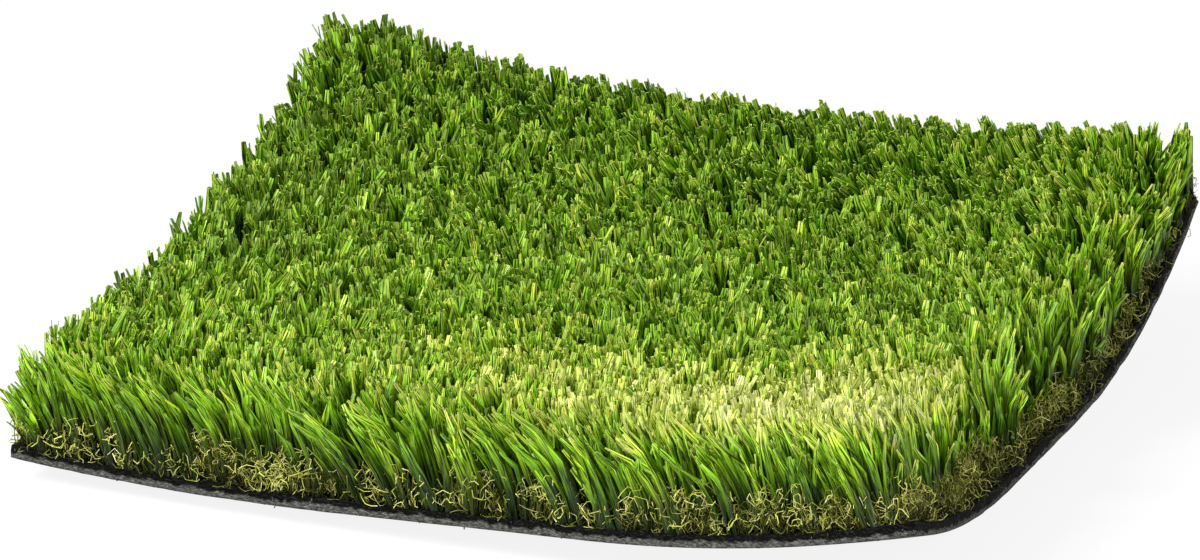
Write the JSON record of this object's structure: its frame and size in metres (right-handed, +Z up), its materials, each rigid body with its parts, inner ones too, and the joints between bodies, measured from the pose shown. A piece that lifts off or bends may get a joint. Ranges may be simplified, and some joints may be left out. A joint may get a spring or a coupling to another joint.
{
  "type": "piece of artificial turf",
  "caption": "Rectangular cut piece of artificial turf, curled up along its edges: coated backing sheet, curled thatch yarn and upright green blades.",
  "frame": {"origin": "centre of the flat patch on the underside that the piece rests on", "axes": "+Z up, +X along the front edge to the right, +Y from the front edge to the back edge"},
  "size_m": [0.2991, 0.2578, 0.0682],
  "materials": {
    "backing": "matt black coating on woven cloth",
    "thatch": "fine curled olive yarn",
    "pile": "flat green yarn with a slight sheen"
  },
  "bodies": {
    "root": {"backing": "backing", "thatch": "thatch", "pile": "pile"}
  },
  "joints": []
}
